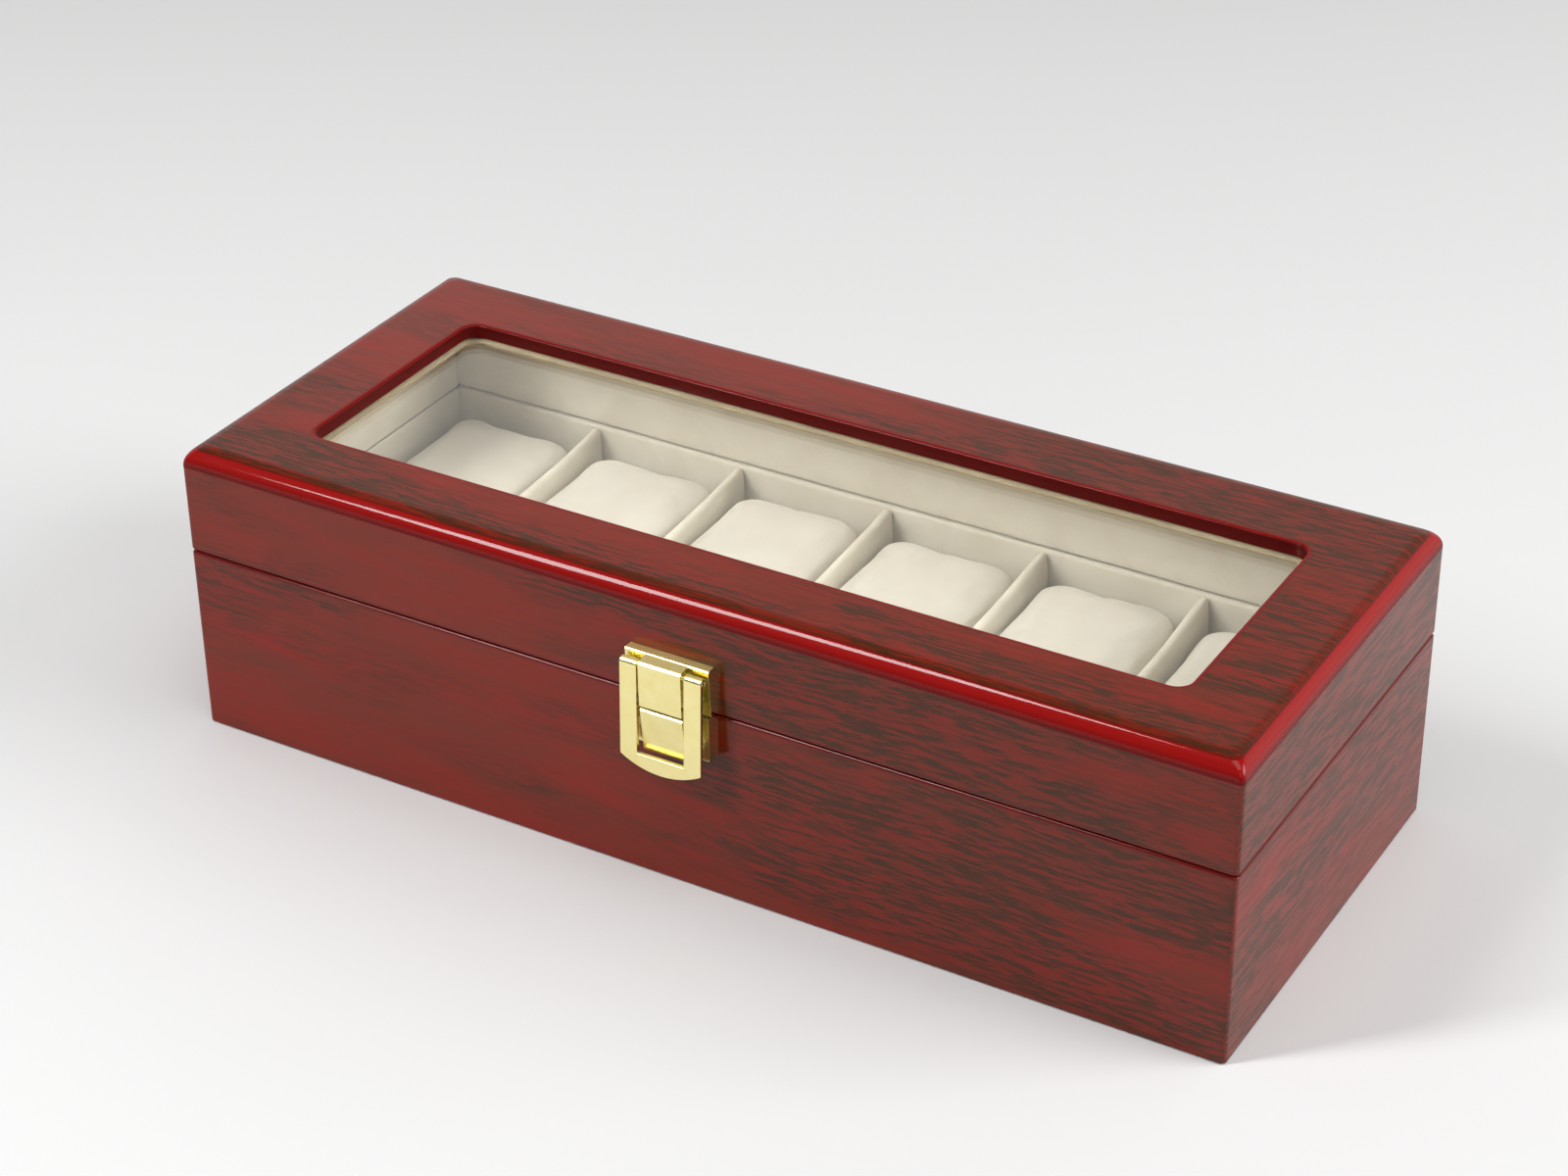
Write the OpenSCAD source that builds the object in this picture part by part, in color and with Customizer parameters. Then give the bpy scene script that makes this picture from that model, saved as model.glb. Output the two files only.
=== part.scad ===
// Lacquered six-compartment display box with a glazed hinged lid, a swinging clasp
// and six lift-out cushions. Origin: middle of the underside. +X along the length,
// the clasp faces -Y, +Z up.

/* [Box] */
// Length of the box
box_l = 320; // [300:1:340]
// Depth of the box, without clasp and hinges
box_d = 130; // [126:1:136]
// Height of the closed box
box_h = 90; // [88:1:96]
// Height of the parting plane between base and lid
part_z = 57.5; // [56:0.5:59]
// Thickness of the wooden walls
wall_t = 9.5; // [9:0.5:10]
// Radius of the upright outer corners
corner_r = 1.5; // [1:0.5:3]
// Radius of the rounded outer edges of the lid
lid_edge_r = 5.5; // [4:0.5:5.5]
// Chamfer of the rims at the parting plane
rim_chamfer = 0.4; // [0.2:0.1:0.6]
// Gap between the closed rims
rim_gap = 0.3; // [0.2:0.1:0.4]
// Thickness of the floor board
floor_t = 4; // [3:0.5:5]
// Thickness of the felt under the floor board
felt_t = 1.2; // [1:0.1:1.5]
// How far the felt stands below the walls
felt_proud = 0.3; // [0.2:0.1:0.5]

/* [Window] */
// Width of the lid border in front of the window
border_front = 24.3; // [22:0.1:28]
// Width of the lid border behind the window
border_back = 27.2; // [25:0.1:30]
// Width of the lid border at both ends of the window
border_end = 26.5; // [24:0.5:30]
// Radius of the window corners
window_r = 4.5; // [3:0.5:6]
// Thickness of the lid board
lid_board_t = 6; // [6:0.5:7]
// Thickness of the glass
glass_t = 2; // [1.5:0.5:2.5]
// Width of the rabbet that holds the glass
rabbet_w = 5; // [4:0.5:6]
// Thickness of the lined board that holds the glass in
glass_frame_t = 2; // [1.5:0.5:2.5]

/* [Lining] */
// Thickness of the padded wall boards along the front and the back
liner_t = 4.3; // [3.5:0.1:4.5]
// Thickness of the thin lined boards at the two ends
end_liner_t = 1.2; // [1:0.1:2.5]
// Thickness of the lined board on the floor
floor_liner_t = 2; // [1.5:0.5:2.5]
// Distance between the boards and the parting plane
liner_gap = 0.3; // [0.2:0.1:0.5]
// Number of compartments
slots = 6; // [6:1:6]
// Distance from one divider to the next
pitch = 49.4; // [49:0.1:50]
// Thickness of a divider
divider_t = 4; // [3.5:0.5:5]
// How far a divider ends below the parting plane at its ends
divider_drop = 0.5; // [0.5:0.5:2]
// How far the middle of a divider's top edge dips
divider_dip = 3.5; // [2:0.5:6]

/* [Cushions] */
// Width of a cushion
cushion_w = 43; // [40:0.5:43]
// Length of a cushion
cushion_l = 94; // [80:1:96]
// Height of the top of a cushion above the underside of the box
cushion_top = 53; // [48:0.5:53]
// Radius of a cushion's edges
cushion_r = 5.5; // [5:0.5:10]

/* [Clasp] */
// Width of the upper plate
plate_w = 25.4; // [24:0.1:26]
// Top of the upper plate above the parting plane
plate_top = 14.6; // [13.5:0.1:15]
// Width of the lower plate
keeper_w = 24; // [23:0.1:25]
// Height of the lower plate
keeper_h = 13.3; // [13:0.1:14]
// Width of the two blocks inside the flap
block_w = 13; // [12.5:0.1:13.6]
// Width of the flap
flap_w = 24.8; // [24:0.1:26]
// Length of the flap from its pin to its tip
flap_l = 31; // [31:0.1:31.5]
// Thickness of the flap
flap_t = 1.4; // [1.2:0.1:1.5]
// Radius of the flap's curved tip
flap_tip_r = 23.5; // [22:0.5:30]
// Width of the flap's window
flap_window_w = 14.4; // [14.4:0.1:15]
// Height of the bar below the flap's window
flap_bar_h = 4.8; // [4.5:0.1:5]
// How far the resting flap leans out, in degrees
flap_lean = 2.5; // [2:0.5:3]
// Radius of the clasp pin
clasp_pin_r = 0.7; // [0.6:0.05:0.75]
// Running clearance around turning pins
pin_clear = 0.05; // [0.03:0.01:0.08]

/* [Hinges] */
// Distance of each hinge from the middle of the box
hinge_x = 100; // [80:5:120]
// Length of a hinge
hinge_l = 38; // [34:1:44]
// Depth of a hinge leaf in the rim
leaf_d = 8; // [7:0.5:8.5]
// Thickness of a hinge leaf
leaf_t = 0.95; // [0.8:0.05:1]
// Outer radius of the hinge barrel
barrel_r = 2; // [1.8:0.1:2.2]
// Radius of the hinge pins
hinge_pin_r = 1; // [0.9:0.05:1.1]
// Share of the hinge length that the middle knuckle takes
knuckle_share = 0.36; // [0.3:0.02:0.4]

/* [Hidden] */
$fn = 64;

WOOD = [0.45, 0.10, 0.09];
CREAM = [0.85, 0.81, 0.73];
GOLD = [0.90, 0.80, 0.48];
FELT = [0.13, 0.10, 0.09];
GLASS = [0.80, 0.90, 0.88, 0.3];

// heights of the stack, from the underside up
wall_z0 = felt_proud;
base_rim_z = part_z - rim_gap / 2;
lid_rim_z = part_z + rim_gap / 2;
floor_z = felt_t + floor_t;
lining_z0 = floor_z + floor_liner_t;
base_liner_z1 = part_z - liner_gap;
lid_liner_z0 = part_z + liner_gap;
board_z0 = box_h - lid_board_t;
frame_z0 = board_z0 - glass_frame_t;

// plan sizes
in_l = box_l - 2 * wall_t;
in_d = box_d - 2 * wall_t;
cell_l = in_l - 2 * end_liner_t;
cell_d = in_d - 2 * liner_t;
front_y = -box_d / 2;
back_y = box_d / 2;
window_l = box_l - 2 * border_end;
window_d = box_d - border_front - border_back;
window_y = (border_front - border_back) / 2;

// the concave top edge of a divider is an arc through both ends and the dipped middle
divider_z1 = part_z - divider_drop;
dip_r = (pow(cell_d / 2, 2) + pow(divider_dip, 2)) / (2 * divider_dip);

// clasp
pin_y = front_y - 4.9;
pin_z = part_z + 11.9;
knuckle_r = clasp_pin_r + 0.8;
knuckle_l = (flap_w - flap_window_w) / 2;
plate_t_top = 3;
plate_t_low = 2;
keeper_t = 2.3;
block_t = 6.4;
keeper_z1 = part_z - 0.7;
keeper_z0 = keeper_z1 - keeper_h;
nail_x = 9.8;
nail_r = 0.6;
nail_l = 8;

// hinges
barrel_y = back_y + barrel_r + 0.2;
knuckle_gap = 0.1;
mid_knuckle_l = hinge_l * knuckle_share;
end_knuckle_l = (hinge_l - mid_knuckle_l) / 2;
screw_x = 12;
screw_r = 0.9;
screw_head_r = 1.7;
screw_l = 8;

// ---------- shared shapes ----------

// a rectangle with round corners, centred
module round_rect(w, d, r) {
    square([w - 2 * r, d], center = true);
    square([w, d - 2 * r], center = true);
    for (x = [-1, 1], y = [-1, 1])
        translate([x * (w / 2 - r), y * (d / 2 - r)]) circle(r);
}

// pushes a section drawn in Y and Z along X, centred
module along_x(length) {
    translate([-length / 2, 0, 0]) rotate([90, 0, 90]) linear_extrude(length) children();
}

// pushes a section drawn in X and Z along Y, centred
module along_y(length) {
    translate([0, length / 2, 0]) rotate([90, 0, 0]) linear_extrude(length) children();
}

// a plain board between two corners
module board(x0, x1, y0, y1, z0, z1) {
    translate([x0, y0, z0]) cube([x1 - x0, y1 - y0, z1 - z0]);
}

// upright section through the base: flat foot, chamfered rim
module base_section(w) {
    c = rim_chamfer;
    polygon([
        [-w / 2, wall_z0], [w / 2, wall_z0], [w / 2, base_rim_z - c],
        [w / 2 - c, base_rim_z], [-w / 2 + c, base_rim_z], [-w / 2, base_rim_z - c]
    ]);
}

// upright section through the lid: chamfered rim, round shoulders
module lid_section(w) {
    c = rim_chamfer;
    r = lid_edge_r;
    polygon([
        [-w / 2 + c, lid_rim_z], [w / 2 - c, lid_rim_z], [w / 2, lid_rim_z + c],
        [w / 2, box_h - r], [-w / 2, box_h - r], [-w / 2, lid_rim_z + c]
    ]);
    translate([-w / 2 + r, box_h - r - 1]) square([w - 2 * r, r + 1]);
    for (s = [-1, 1]) translate([s * (w / 2 - r), box_h - r]) circle(r);
}

module base_block() {
    intersection() {
        linear_extrude(box_h) round_rect(box_l, box_d, corner_r);
        along_x(box_l + 2) base_section(box_d);
        along_y(box_d + 2) base_section(box_l);
    }
}

module lid_block() {
    intersection() {
        linear_extrude(box_h + 1) round_rect(box_l, box_d, corner_r);
        along_x(box_l + 2) lid_section(box_d);
        along_y(box_d + 2) lid_section(box_l);
    }
}

// the mitred plan of one wall: "front", "back", "left" or "right"
module wall_plan(side) {
    x1 = box_l / 2;
    y1 = box_d / 2;
    if (side == "front" || side == "back")
        mirror([0, side == "back" ? 1 : 0])
            polygon([[-x1 - 1, -y1 - 1], [x1 + 1, -y1 - 1], [x1 - wall_t, -y1 + wall_t],
                     [-x1 + wall_t, -y1 + wall_t]]);
    else
        mirror([side == "right" ? 1 : 0, 0])
            polygon([[-x1 - 1, -y1 - 1], [-x1 + wall_t, -y1 + wall_t],
                     [-x1 + wall_t, y1 - wall_t], [-x1 - 1, y1 + 1]]);
}

module base_wall(side) {
    intersection() {
        base_block();
        linear_extrude(part_z) wall_plan(side);
    }
}

module lid_rail(side) {
    intersection() {
        lid_block();
        translate([0, 0, part_z]) linear_extrude(board_z0 - part_z) wall_plan(side);
    }
}

// one velvet-covered wall board of the base or the lid
module liner(side, z0, z1) {
    if (side == "front" || side == "back")
        mirror([0, side == "back" ? 1 : 0, 0])
            board(-in_l / 2, in_l / 2, -in_d / 2, -cell_d / 2, z0, z1);
    else
        mirror([side == "right" ? 1 : 0, 0, 0])
            board(-in_l / 2, -cell_l / 2, -cell_d / 2, cell_d / 2, z0, z1);
}

// ---------- base ----------

module base_front_wall() {
    color(WOOD) difference() {
        base_wall("front");
        keeper_nail_set();
    }
}

module base_back_wall() {
    color(WOOD) difference() {
        base_wall("back");
        for (s = [-1, 1]) translate([s * hinge_x, 0, 0]) {
            board(-hinge_l / 2, hinge_l / 2, back_y - leaf_d, back_y + 1,
                  base_rim_z - leaf_t, part_z);
            screw_pair(-1);
        }
    }
}

module base_end_wall(side) {
    color(WOOD) base_wall(side);
}

module base_bottom_panel() {
    color(WOOD) board(-in_l / 2, in_l / 2, -in_d / 2, in_d / 2, felt_t, floor_z);
}

module base_felt() {
    color(FELT) board(-in_l / 2, in_l / 2, -in_d / 2, in_d / 2, 0, felt_t);
}

module base_floor_liner() {
    color(CREAM) board(-in_l / 2, in_l / 2, -in_d / 2, in_d / 2, floor_z, lining_z0);
}

module base_liner(side) {
    color(CREAM) liner(side, lining_z0, base_liner_z1);
}

// divider number i, counted from the left, with its dipped top edge
module divider(i) {
    x = (i - slots / 2) * pitch;
    color(CREAM) translate([x, 0, 0]) difference() {
        board(-divider_t / 2, divider_t / 2, -cell_d / 2, cell_d / 2, lining_z0, divider_z1);
        translate([-divider_t, 0, divider_z1 - divider_dip + dip_r])
            rotate([0, 90, 0]) cylinder(r = dip_r, h = 2 * divider_t, $fn = 256);
    }
}

// ---------- clasp ----------

// two nails through a plate into the wood; the head is flush with the plate's face
module nail_pair(z, head_y) {
    for (s = [-1, 1]) translate([s * nail_x, head_y, z]) rotate([-90, 0, 0]) {
        cylinder(r = 2 * nail_r, h = 0.5);
        cylinder(r = nail_r, h = nail_l);
    }
}

module keeper_nail_set() {
    nail_pair(keeper_z0 + keeper_h / 2, front_y - keeper_t);
}

module plate_nail_set() {
    nail_pair(part_z + 6, front_y - plate_t_low - 0.4);
}

// lower plate with the catch block, whose front leans back towards its foot; the bar of
// the locked flap sits below that foot
module latch_keeper() {
    block_front = front_y - block_t;
    foot_y = block_front + 1.3;
    foot_z = keeper_z0 + 0.1;
    color(GOLD) difference() {
        union() {
            along_x(keeper_w) polygon([
                [front_y, keeper_z0], [front_y - keeper_t + 0.3, keeper_z0],
                [front_y - keeper_t, keeper_z0 + 0.3], [front_y - keeper_t, keeper_z1],
                [front_y, keeper_z1]
            ]);
            along_x(block_w) polygon([
                [front_y - 1, foot_z + 1], [foot_y + 2, foot_z], [foot_y, foot_z],
                [block_front, keeper_z1 - 0.4], [block_front + 0.4, keeper_z1],
                [front_y - 1, keeper_z1]
            ]);
        }
        keeper_nail_set();
    }
}

module latch_keeper_nails() {
    color(GOLD) keeper_nail_set();
}

// upper plate, a wedge that is thicker at its top, with the pivot block
module latch_plate() {
    z0 = part_z + 0.4;
    z1 = part_z + plate_top;
    block_top = pin_z + 1.9;
    color(GOLD) difference() {
        union() {
            along_x(plate_w) polygon([
                [front_y, z0], [front_y - plate_t_low, z0],
                [front_y - plate_t_top, z1 - 0.3], [front_y - plate_t_top + 0.3, z1],
                [front_y, z1]
            ]);
            along_x(block_w) polygon([
                [front_y - 1, z0], [front_y - block_t - 0.2, z0],
                [front_y - block_t - 0.3, block_top - 0.5], [front_y - block_t + 0.2, block_top],
                [front_y - plate_t_top + 0.5, z1 - 0.1], [front_y - 1, z1 - 0.1]
            ]);
        }
        translate([-block_w, pin_y, pin_z]) rotate([0, 90, 0])
            cylinder(r = clasp_pin_r, h = 2 * block_w);
        plate_nail_set();
    }
}

module latch_plate_nails() {
    color(GOLD) plate_nail_set();
}

module latch_pin() {
    color(GOLD) translate([-flap_w / 2, pin_y, pin_z]) rotate([0, 90, 0])
        cylinder(r = clasp_pin_r, h = flap_w);
}

// the flap hanging straight down from its pin, drawn around the pin's axis
module flap_upright() {
    bar_z = -flap_l + flap_bar_h;
    difference() {
        union() {
            // the plate in front of the axis, with its curved tip and its window
            translate([0, flap_t - knuckle_r, 0]) rotate([90, 0, 0]) linear_extrude(flap_t)
                difference() {
                    intersection() {
                        translate([-flap_w / 2, -flap_l]) square([flap_w, flap_l]);
                        translate([0, flap_tip_r - flap_l]) circle(flap_tip_r, $fn = 128);
                    }
                    translate([-flap_window_w / 2, bar_z]) square([flap_window_w, flap_l]);
                }
            // the knuckles on both sides of the window
            for (s = [-1, 1]) translate([s * (flap_w - knuckle_l) / 2, 0, 0]) rotate([0, 90, 0])
                cylinder(r = knuckle_r, h = knuckle_l, center = true);
        }
        rotate([0, 90, 0])
            cylinder(r = clasp_pin_r + pin_clear, h = flap_w + 2, center = true);
    }
}

module latch_flap() {
    color(GOLD) translate([0, pin_y, pin_z]) rotate([-flap_lean, 0, 0]) flap_upright();
}

// ---------- hinges ----------

// one countersunk screw whose head face is at z = 0, pointing down
module leaf_screw() {
    translate([0, 0, -leaf_t]) cylinder(r1 = screw_r, r2 = screw_head_r, h = leaf_t);
    translate([0, 0, -screw_l]) cylinder(r = screw_r, h = screw_l);
}

// the two screws of one leaf; dir is -1 for the base leaf and 1 for the lid leaf
module screw_pair(dir) {
    y = back_y - leaf_d / 2;
    for (s = [-1, 1]) translate([s * screw_x, y, dir < 0 ? base_rim_z : lid_rim_z])
        mirror([0, 0, dir < 0 ? 0 : 1]) leaf_screw();
}

module barrel_piece(x0, x1, r) {
    translate([x0, barrel_y, part_z]) rotate([0, 90, 0]) cylinder(r = r, h = x1 - x0);
}

// base leaf: a plate in the rim and the two end knuckles, held tight on the pin
module base_leaf() {
    color(GOLD) difference() {
        union() {
            board(-hinge_l / 2, hinge_l / 2, back_y - leaf_d, back_y,
                  base_rim_z - leaf_t, base_rim_z);
            for (s = [-1, 1]) mirror([s < 0 ? 1 : 0, 0, 0]) {
                board(hinge_l / 2 - end_knuckle_l, hinge_l / 2, back_y - 1, barrel_y,
                      base_rim_z - leaf_t, base_rim_z);
                barrel_piece(hinge_l / 2 - end_knuckle_l, hinge_l / 2, barrel_r);
            }
        }
        barrel_piece(-hinge_l, hinge_l, hinge_pin_r);
        screw_pair(-1);
    }
}

// lid leaf: a plate in the rim and the middle knuckle, which turns on the pin
module lid_leaf() {
    half = mid_knuckle_l / 2 - knuckle_gap;
    color(GOLD) difference() {
        union() {
            board(-hinge_l / 2, hinge_l / 2, back_y - leaf_d, back_y,
                  lid_rim_z, lid_rim_z + leaf_t);
            board(-half, half, back_y - 1, barrel_y, lid_rim_z, lid_rim_z + leaf_t);
            barrel_piece(-half, half, barrel_r);
        }
        barrel_piece(-hinge_l, hinge_l, hinge_pin_r + pin_clear);
        screw_pair(1);
    }
}

module hinge_pin() {
    color(GOLD) barrel_piece(-hinge_l / 2, hinge_l / 2, hinge_pin_r);
}

module at_hinge(side) {
    translate([side * hinge_x, 0, 0]) children();
}

module hinge_screws(dir) {
    color(GOLD) for (s = [-1, 1]) at_hinge(s) screw_pair(dir);
}

// ---------- lid ----------

module window_plan() {
    translate([0, window_y]) round_rect(window_l, window_d, window_r);
}

// top board with the window, and a rabbet below it for the glass
module lid_top_panel() {
    color(WOOD) difference() {
        intersection() {
            lid_block();
            board(-box_l, box_l, -box_d, box_d, board_z0, box_h + 1);
        }
        linear_extrude(box_h + 2) window_plan();
        translate([0, window_y, board_z0 - 1]) linear_extrude(glass_t + 1)
            square([window_l + 2 * rabbet_w, window_d + 2 * rabbet_w], center = true);
    }
}

module lid_front_rail() {
    color(WOOD) difference() {
        lid_rail("front");
        plate_nail_set();
    }
}

module lid_back_rail() {
    color(WOOD) difference() {
        lid_rail("back");
        for (s = [-1, 1]) at_hinge(s) {
            board(-hinge_l / 2, hinge_l / 2, back_y - leaf_d, back_y + 1,
                  part_z, lid_rim_z + leaf_t);
            screw_pair(1);
        }
    }
}

module lid_end_rail(side) {
    color(WOOD) lid_rail(side);
}

module glass_pane() {
    color(GLASS) translate([0, window_y, board_z0]) linear_extrude(glass_t)
        square([window_l + 2 * rabbet_w - 0.4, window_d + 2 * rabbet_w - 0.4], center = true);
}

module glass_frame() {
    color(CREAM) translate([0, 0, frame_z0]) linear_extrude(glass_frame_t) difference() {
        square([in_l, in_d], center = true);
        window_plan();
    }
}

module lid_liner(side) {
    color(CREAM) liner(side, lid_liner_z0, frame_z0);
}

// ---------- cushions ----------

// cushion number i, counted from the left: a block with all its edges rounded
module cushion(i) {
    h = cushion_top - lining_z0;
    color(CREAM) translate([(i - (slots + 1) / 2) * pitch, 0, lining_z0 + h / 2]) intersection() {
        translate([0, 0, -h]) linear_extrude(2 * h) round_rect(cushion_w, cushion_l, cushion_r);
        along_x(cushion_w + 2) round_rect(cushion_l, h, cushion_r);
        along_y(cushion_l + 2) round_rect(cushion_w, h, cushion_r);
    }
}

// ---------- what is drawn ----------

base_front_wall();
base_back_wall();
base_end_wall("left");  // base_left_wall
base_end_wall("right");  // base_right_wall
base_bottom_panel();
base_felt();
base_floor_liner();
base_liner("front");  // base_liner_front
base_liner("back");  // base_liner_back
base_liner("left");  // base_liner_left
base_liner("right");  // base_liner_right
divider(1);  // divider_1
divider(2);  // divider_2
divider(3);  // divider_3
divider(4);  // divider_4
divider(5);  // divider_5
latch_keeper();
latch_keeper_nails();
at_hinge(-1) base_leaf();  // hinge_left_base_leaf
at_hinge(1) base_leaf();  // hinge_right_base_leaf
at_hinge(-1) hinge_pin();  // hinge_left_pin
at_hinge(1) hinge_pin();  // hinge_right_pin
hinge_screws(-1);  // base_hinge_screws
lid_top_panel();
lid_front_rail();
lid_back_rail();
lid_end_rail("left");  // lid_left_rail
lid_end_rail("right");  // lid_right_rail
glass_pane();
glass_frame();
lid_liner("front");  // lid_liner_front
lid_liner("back");  // lid_liner_back
lid_liner("left");  // lid_liner_left
lid_liner("right");  // lid_liner_right
latch_plate();
latch_plate_nails();
latch_pin();
at_hinge(-1) lid_leaf();  // hinge_left_lid_leaf
at_hinge(1) lid_leaf();  // hinge_right_lid_leaf
hinge_screws(1);  // lid_hinge_screws
latch_flap();
cushion(1);  // cushion_1
cushion(2);  // cushion_2
cushion(3);  // cushion_3
cushion(4);  // cushion_4
cushion(5);  // cushion_5
cushion(6);  // cushion_6
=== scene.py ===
"""Looks of the lacquered display box: wood, velvet, cushions, gold clasp, glass, stage and camera."""
import math

import bmesh
import bpy
from mathutils import Matrix, Vector, noise


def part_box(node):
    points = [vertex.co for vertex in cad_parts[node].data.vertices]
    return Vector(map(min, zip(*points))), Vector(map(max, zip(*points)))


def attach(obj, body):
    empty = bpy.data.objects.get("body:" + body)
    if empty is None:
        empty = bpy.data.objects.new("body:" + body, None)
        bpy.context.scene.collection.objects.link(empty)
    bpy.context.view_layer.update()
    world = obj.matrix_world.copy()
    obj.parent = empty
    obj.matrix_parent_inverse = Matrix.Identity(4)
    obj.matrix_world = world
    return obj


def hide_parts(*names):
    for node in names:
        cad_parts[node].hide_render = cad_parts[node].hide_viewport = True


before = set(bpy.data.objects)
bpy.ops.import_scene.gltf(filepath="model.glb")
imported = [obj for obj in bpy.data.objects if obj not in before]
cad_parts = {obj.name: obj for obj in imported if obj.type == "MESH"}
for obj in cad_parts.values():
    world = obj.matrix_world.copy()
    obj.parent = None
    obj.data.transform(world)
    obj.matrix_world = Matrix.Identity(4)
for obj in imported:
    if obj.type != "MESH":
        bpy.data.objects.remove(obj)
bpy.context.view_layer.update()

MM = 0.001
QUARTER_TURN = math.radians(90)

# The view: where the camera stands in metres, how it is turned in degrees, and its lens.
CAMERA_AT = Vector((0.4144, -0.7050, 0.5506))
CAMERA_AZIMUTH = -30.73
CAMERA_DOWN = 31.06
CAMERA_ROLL = -0.71
LENS_MM = 79.78
SENSOR_MM = 36.0
CLIP_NEAR, CLIP_FAR = 0.01, 50

# The lamps: name, direction from the box, distance, width and height in metres, and watts.
LAMP_TARGET = Vector((0, 0, 0.06))
LAMPS = (
    ("strip_left", (-0.44, -0.54, 0.72), 1.5, (0.22, 0.95), 12.5),
    ("overhead", (0.25, -0.15, 0.95), 1.6, (1.0, 0.9), 6),
    ("fill_camera_side", (0.60, -0.55, 0.58), 2.0, (1.0, 1.0), 2),
    ("fill_right", (0.83, 0.25, 0.50), 1.8, (1.0, 1.0), 18),
)

# The surroundings: grey by direction, from the horizon and below (0) to straight up (1), and how
# it weakens from the back (Y above SKY_BACK) to the front (Y below SKY_FRONT).
SKY = ((0.0, 0.90), (0.44, 0.80), (0.50, 0.60), (0.545, 0.44), (0.64, 0.20), (1.0, 0.12))
SKY_FRONT, SKY_BACK, SKY_FRONT_STRENGTH = -0.45, 0.30, 0.20
FLOOR_HALF = 6.0

# Colours, as linear red, green and blue.
LACQUER_RED = (0.330, 0.0020, 0.0010)
# Painted shade: the near-black red that the rims along the parting line are half mixed to, for the dark
# gap between lid and base.
LACQUER_RIM_SHADE = (0.060, 0.0020, 0.0012)
# Painted shade: the dark red that the lacquer is mixed to at the foot of the rounded top edge and on the
# window's walls.
LACQUER_PAINTED_SHADE = (0.085, 0.0022, 0.0014)
WOOD_REDS = ((0.32, (0.180, 0.0190, 0.0060)), (0.52, (0.225, 0.0140, 0.0040)),
             (0.68, (0.260, 0.0100, 0.0030)))
GRAIN_DARK = (0.046, 0.0180, 0.0055)
LINING_COLOURS = ((0.70, 0.64, 0.525), (0.64, 0.575, 0.46))
PILLOW_COLOURS = ((0.64, 0.585, 0.495), (0.59, 0.535, 0.445))
# Painted shade: darker velvet for the glass frame's inner edge, in the shadow under the rabbet.
FRAME_EDGE_SHADE_COLOURS = ((0.42, 0.34, 0.22), (0.34, 0.27, 0.17))
VELVET_SHEEN = (1.0, 0.97, 0.90, 1)
GOLD_COLOURS = ((0.30, (0.92, 0.80, 0.34)), (0.70, (0.97, 0.88, 0.44)))
FELT_COLOURS = ((0.3, (0.008, 0.006, 0.005)), (0.7, (0.034, 0.026, 0.022)))
GLASS_TINT = (0.985, 0.992, 0.985, 1)
GLASS_SHADOW = (0.96, 0.97, 0.96, 1)
FLOOR_COLOURS = ((0.3, (0.86, 0.86, 0.86)), (0.7, (0.89, 0.89, 0.89)))

# The attribute lacquer is 1 where plain red lacquer shows, and this lower value on the rims along the
# parting line, which show part plain lacquer and part painted shade for the dark gap between lid and base.
SHADED_RIM = 0.46


# ---------- places taken from the frame, and edges ----------

PANEL_LOW, PANEL_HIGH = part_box("lid_top_panel")
WALL_LOW, WALL_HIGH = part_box("base_front_wall")
RAIL_LOW, RAIL_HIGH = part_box("lid_front_rail")
FRAME_LOW, FRAME_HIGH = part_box("glass_frame")
GLASS_LOW, GLASS_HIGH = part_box("glass_pane")
PANEL_SIZE = PANEL_HIGH - PANEL_LOW
HALF_L = PANEL_SIZE.x / 2
HALF_D = PANEL_SIZE.y / 2
WALL = HALF_D + WALL_HIGH.y
CORNER_R = 1.5 * MM
INNER_CORNER_R = 0.3 * MM
EDGE_R = 5.5 * MM
EDGE_STEPS = 14
EDGE_RUNOUT = 0.9 * MM
RIM_R = 0.8 * MM
RIM_STEPS = 5
RIM_INNER = 0.3 * MM
FOOT_R = 0.4 * MM
FOOT_STEPS = 3

# The rabbet is 5 mm wider than the window on every side, and the glass is 0.2 mm clear of it.
RABBET = 5 * MM
GLASS_CLEAR = 0.2 * MM
WINDOW_HALF = ((GLASS_HIGH.x - GLASS_LOW.x) / 2 - RABBET + GLASS_CLEAR,
               (GLASS_HIGH.y - GLASS_LOW.y) / 2 - RABBET + GLASS_CLEAR)
WINDOW_Y = (GLASS_HIGH.y + GLASS_LOW.y) / 2
WINDOW_R = 4.5 * MM
WINDOW_LIP = 0.7 * MM
# How much painted shade darkens the red lacquer on the window's walls.
WINDOW_SHADE = 0.9

# The hinge leaves' pockets: how deep they go, and how far their tools reach past the wood.
POCKET_DEEP = 0.95 * MM
POCKET_PAST_RIM = 1 * MM
POCKET_PAST_BACK = 2 * MM

# The velvet-covered parts.
BOARD_R = 1.3 * MM
BOARD_CELL = 4 * MM
FLOOR_BOARD_R = 0.6 * MM
FLOOR_BOARD_CELL = 8 * MM
DIVIDER_R = 1.7 * MM
DIVIDER_CELL = 3.5 * MM
DIVIDER_DIP = 3.5 * MM
DIVIDER_THINS_OVER = 7 * MM
DIVIDER_THINS_BY = 0.34
FRAME_SOFT_R = 0.9 * MM
FRAME_SEAM = 2.5 * MM

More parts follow.
